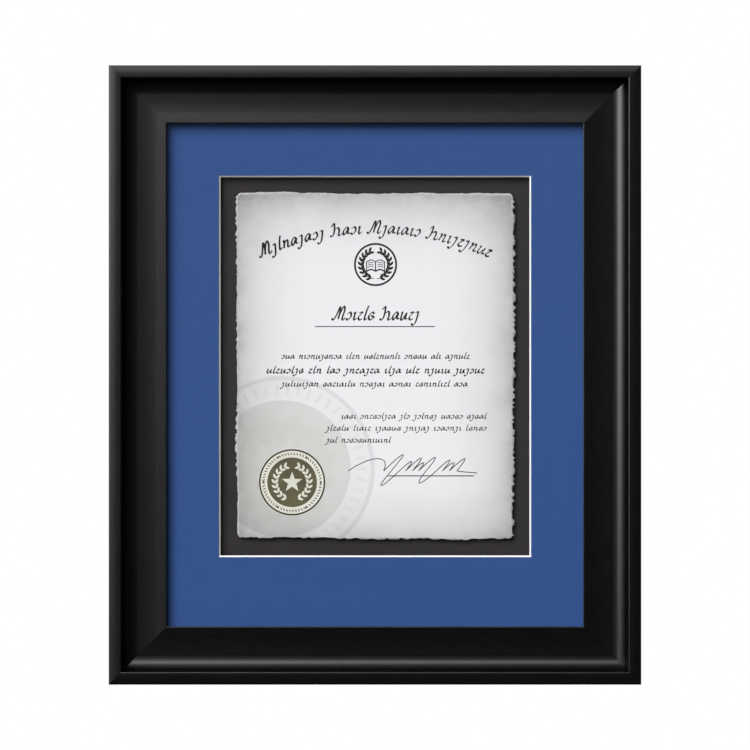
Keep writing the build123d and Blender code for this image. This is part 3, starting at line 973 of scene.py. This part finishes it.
def pan_screw(head_radius, head_height, shank_radius, length):
    """The mesh of a pan-head screw, its seat at the origin and its shank along -Y."""
    flat = 0.62
    profile = [(0.0, head_height), (head_radius * flat, head_height)]
    crown = 7
    for i in range(2, crown + 1):
        angle = math.pi / 2 * i / crown
        radius = head_radius * (flat + (1 - flat) * math.sin(angle))
        profile.append((radius, head_height * (0.45 + 0.55 * math.cos(angle))))
    profile.append((head_radius, head_height * 0.12))
    profile.append((head_radius * 0.96, 0.0))
    profile.append((shank_radius, 0.0))
    turns = round(length * 0.8 / THREAD_PITCH)
    for i in range(turns):
        start = -length * 0.2 - i * THREAD_PITCH
        slim = 1.0 if i < turns - 3 else 0.4 + 0.2 * (turns - 1 - i)
        profile.append((shank_radius * 0.72 * slim, start))
        profile.append((shank_radius * slim, start - THREAD_CREST))
    profile.append((0.0, -length))
    mesh = bmesh.new()
    lathe(mesh, profile, SCREW_SIDES)
    screw = as_object(mesh, "screw_blank")
    recess = cross_cutter(head_radius * 0.56, head_radius * 0.2, head_height * 0.3, head_height * 1.2, 0.5)
    cutter = as_object(recess, "screw_cutter")
    cut = screw.modifiers.new("recess", "BOOLEAN")
    cut.operation = "DIFFERENCE"
    cut.solver = "EXACT"
    cut.object = cutter
    bpy.context.view_layer.update()
    data = bpy.data.meshes.new_from_object(screw.evaluated_get(bpy.context.evaluated_depsgraph_get()))
    for spare in (screw, cutter):
        bpy.data.objects.remove(spare)
    return data


def screws(name, node, places, seat, head_radius, head_height, shank_radius, length, material):
    """A group of like screws, each turned a little differently, in place of a CAD node."""
    blank = pan_screw(head_radius, head_height, shank_radius, length)
    mesh = bmesh.new()
    for order, (x, z) in enumerate(places):
        turn = Matrix.Rotation(math.radians(20 + 137.5 * order), 4, "Y")
        moved = blank.copy()
        moved.transform(Matrix.Translation((x, seat, z)) @ turn)
        mesh.from_mesh(moved)
        bpy.data.meshes.remove(moved)
    for face in mesh.faces:
        face.smooth = True
    obj = finished(name, mesh, material, slot="screw_steel")
    obj.data.set_sharp_from_angle(angle=math.radians(38))
    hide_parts(node)


# Put the pieces together

torn_sheet()
picture_glass()
printed_lines()
seal()

dress(lacquer("lacquer_level", "X"), "frame_top_rail", "frame_bottom_rail")
dress(lacquer("lacquer_upright", "Z"), "frame_left_stile", "frame_right_stile")
dress(mat_paper("blue_paper", srgb(51, 81, 137), srgb(56, 86, 142), 0.02 * MM), "mat_face_paper")
dress(mat_paper("white_core", srgb(252, 252, 250), srgb(240, 240, 238), 0.01 * MM), "mat_core")
dress(mat_paper("charcoal_board", srgb(50, 47, 50), srgb(57, 53, 57), 0.02 * MM), "mount_board")
dress(foam_board(), "float_pad", "spacer_top", "spacer_bottom", "spacer_left", "spacer_right")
dress(hardboard(), "backing_board")
dress(bumper_rubber(), "wall_bumper_left", "wall_bumper_right")
dress(plated("nail_steel", srgb(150, 150, 152), 0.42), "corner_v_nails")
strap_steel = plated("strap_steel", srgb(196, 194, 188), 0.3, brushed=True, fold=True)
dress(strap_steel, "hanger_strap_left", "hanger_strap_right")
dress(plated("ring_steel", srgb(200, 198, 192), 0.24), "hanger_ring_left", "hanger_ring_right")
button_steel = plated("button_steel", srgb(188, 188, 190), 0.33, brushed=True)
dress(button_steel, *[name for name in nodes if name.startswith("turn_button") and "screws" not in name])

pivots = [joint["pos_m"] for joint in frame["joints"] if joint["name"].startswith("turn_button")]
screw_steel = plated("screw_steel", srgb(206, 202, 190), 0.28)
screws(
    "button_screws",
    "turn_button_screws",
    [(spot[0], spot[2]) for spot in pivots],
    seat=1.1 * MM,
    head_radius=3.2 * MM,
    head_height=1.9 * MM,
    shank_radius=1.5 * MM,
    length=12 * MM,
    material=screw_steel,
)
strap_screw_height = sum(corner[2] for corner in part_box("hanger_screws")) / 2
strap_middles = [
    sum(corner[0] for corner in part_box(name)) / 2 for name in ("hanger_strap_left", "hanger_strap_right")
]
screws(
    "strap_screws",
    "hanger_screws",
    [(middle, strap_screw_height) for middle in strap_middles],
    seat=1.8 * MM,
    head_radius=3.3 * MM,
    head_height=2.1 * MM,
    shank_radius=1.7 * MM,
    length=14 * MM,
    material=screw_steel,
)

# Stage: pale floor, dark cards that only reflections see, soft lights and a white surround

FLOOR_SIZE = 6.0
FLOOR_HEIGHT = -0.75
FLOOR_BOUNCE = 0.15
FLOOR_FADE = (0.2, 2.2)
CARD_FOOT = FLOOR_HEIGHT + 0.02
CARD_FRONT = -1.6
CARD_REAR = 0.5
CARD_REACH = 2.2
GLOW_REACH = 1.0
AMBIENT_SHARE = 0.1
# Suns: where each stands, its energy and its spread in degrees
SUNS = {"key": ((-2.2, -4, 2.8), 3.68, 45), "rear_fill": ((1.2, 4, 1.8), 2.4, 60)}
# Softboxes on the left and overhead, side by side: their edges in degrees off the view, their watts.
# The left ones stand high and the overhead ones lie to the left, so the light fades along the rails
STRIP_DISTANCE = 1.6
STRIP_LENGTH = 1.6
STRIP_RISE = 0.7
STRIP_SHIFT = -0.45
STRIP_SETBACK = 0.03
STRIP_EDGES = (20, 42, 58, 78)
STRIP_WATTS = {"left": (8.9, 21.0, 14.4), "top": (3.6, 9.9, 3.3)}
# Camera: far off and level, so that all depths show at one scale
CAMERA_DISTANCE = 12.0
VIEW_SPAN = 548.25 * MM
SENSOR = 36.0


def card(name, low, high, material, floor=False):
    """A level or upright stage card between opposite corners; only reflections see it, bar the floor."""
    level = low[2] == high[2]
    second = (high[0], low[1] if level else high[1], low[2])
    fourth = (low[0], high[1] if level else low[1], high[2])
    mesh = bpy.data.meshes.new(name)
    mesh.from_pydata([low, second, high, fourth], [], [(0, 1, 2, 3)])
    mesh.materials.append(material)
    obj = placed(name, mesh)
    if not floor:
        obj.visible_camera = obj.visible_diffuse = obj.visible_transmission = obj.visible_shadow = False


def glow(name, low, high, left=0.0):
    """A glow of radiance low, high in a soft band above the middle, with that much more at the left."""
    material, tree, surface = open_material(name)
    emission = tree.nodes.new("ShaderNodeEmission")
    x, _, z = axes_of(tree, place(tree))
    up = span(tree, z, -GLOW_REACH, GLOW_REACH)
    band = grey_ramp(tree, up, (0.43, low), (0.55, high), (0.67, high), (0.79, low))
    across = span(tree, x, -GLOW_REACH, 0.4 * GLOW_REACH)
    side = grey_ramp(tree, across, (0.0, left), (1.0, 0.0))
    tree.links.new(mix(tree, 1.0, band, side, "ADD"), emission.inputs["Color"])
    tree.links.new(emission.outputs[0], surface)
    material.cycles.emission_sampling = "NONE"
    return material


def surround_rays(tree):
    """1 for the rays that show the background: camera, glossy and transmission."""
    path = tree.nodes.new("ShaderNodeLightPath").outputs
    seen = calc(tree, "MAXIMUM", path["Is Camera Ray"], path["Is Glossy Ray"])
    return calc(tree, "MAXIMUM", seen, path["Is Transmission Ray"])


def pale_floor():
    """Pale floor that keeps soft shadows, fades into the white surround and sends little light back."""
    material, tree, shader, point = new_material("floor", grey(0.8), 0.9)
    seen = surround_rays(tree)
    coat(tree, shader, mix(tree, seen, grey(FLOOR_BOUNCE), grey(0.8)))
    glow_node = tree.nodes.new("ShaderNodeEmission")
    put(glow_node, Color=grey(1.0))
    blend = tree.nodes.new("ShaderNodeMixShader")
    x, y, _ = axes_of(tree, point)
    far = span(tree, distance(tree, x, y), *FLOOR_FADE, 0.55, 1.0)
    share = calc(tree, "MULTIPLY", far, seen)
    feed(tree, blend.inputs, (share, shader.outputs[0], glow_node.outputs[0]))
    tree.links.new(blend.outputs[0], tree.nodes["Material Output"].inputs["Surface"])
    material.cycles.emission_sampling = "NONE"
    return material


def aimed(name, data, spot):
    """A light at a spot, turned towards the frame's middle."""
    obj = placed(name, data)
    obj.location = spot
    obj.rotation_euler = (-Vector(spot)).to_track_quat("-Z", "Y").to_euler()
    obj.visible_camera = False
    return obj


def soft_strip(name, spot, width, height, watts):
    """A softbox for the reflections in the moulding."""
    data = bpy.data.lights.new(name, "AREA")
    data.shape = "RECTANGLE"
    data.size = width
    data.size_y = height
    data.energy = watts
    aimed(name, data, spot).visible_diffuse = False


far_corner = (FLOOR_SIZE, FLOOR_SIZE, FLOOR_HEIGHT)
card("floor", (-FLOOR_SIZE, -FLOOR_SIZE, FLOOR_HEIGHT), far_corner, pale_floor(), floor=True)
front_grey = glow("card_front", 0.004, 0.115, 0.05)
side_grey = glow("card_side", 0.03, 0.03)
for name, low, high, material in (
    ("card_front", (-CARD_REACH, CARD_FRONT, CARD_FOOT), (CARD_REACH, CARD_FRONT, CARD_REACH), front_grey),
    ("card_right", (CARD_REACH, CARD_FRONT, CARD_FOOT), (CARD_REACH, CARD_REAR, CARD_REACH), side_grey),
    ("card_left", (-CARD_REACH, CARD_FRONT, CARD_FOOT), (-CARD_REACH, CARD_REAR, CARD_REACH), side_grey),
    ("card_low", (-CARD_REACH, CARD_FRONT, CARD_FOOT), (CARD_REACH, CARD_REAR, CARD_FOOT), side_grey),
    ("card_high", (-CARD_REACH, CARD_FRONT, CARD_REACH), (CARD_REACH, CARD_REAR, CARD_REACH), side_grey),
):
    card(name, low, high, material)

for side, powers in STRIP_WATTS.items():
    for low, high, watts in zip(STRIP_EDGES, STRIP_EDGES[1:], powers):
        turn = math.radians((low + high) / 2)
        out = STRIP_DISTANCE * math.sin(turn)
        front = -STRIP_DISTANCE * math.cos(turn) - STRIP_SETBACK
        width = 2 * STRIP_DISTANCE * math.tan(math.radians(high - low) / 2)
        if side == "left":
            soft_strip(f"strip_left_{low}", (-out, front, STRIP_RISE), width, STRIP_LENGTH, watts)
        else:
            soft_strip(f"strip_top_{low}", (STRIP_SHIFT, front, out), STRIP_LENGTH, width, watts)

for name, (spot, energy, spread) in SUNS.items():
    sun = bpy.data.lights.new(name, "SUN")
    sun.energy = energy
    sun.angle = math.radians(spread)
    aimed(name, sun, spot).visible_glossy = False

world = bpy.data.worlds.new("surround")
bpy.context.scene.world = world
world.use_nodes = True
world_tree = world.node_tree
background = world_tree.nodes["Background"]
put(background, Color=grey(1.0))
strength = calc(world_tree, "MULTIPLY_ADD", surround_rays(world_tree), 1 - AMBIENT_SHARE, AMBIENT_SHARE)
world_tree.links.new(strength, background.inputs["Strength"])

camera_data = bpy.data.cameras.new("camera")
camera_data.sensor_width = SENSOR
camera_data.lens = SENSOR * CAMERA_DISTANCE / VIEW_SPAN
camera_data.clip_start = 0.1
camera_data.clip_end = 100
camera = placed("camera", camera_data)
camera.location = (0, frame_low.y - CAMERA_DISTANCE, 0)
camera.rotation_euler = (math.pi / 2, 0, 0)
bpy.context.scene.camera = camera
bpy.context.scene.view_settings.view_transform = "Standard"


def plain(box):
    """A box as plain lists of numbers."""
    return [list(corner) for corner in box]
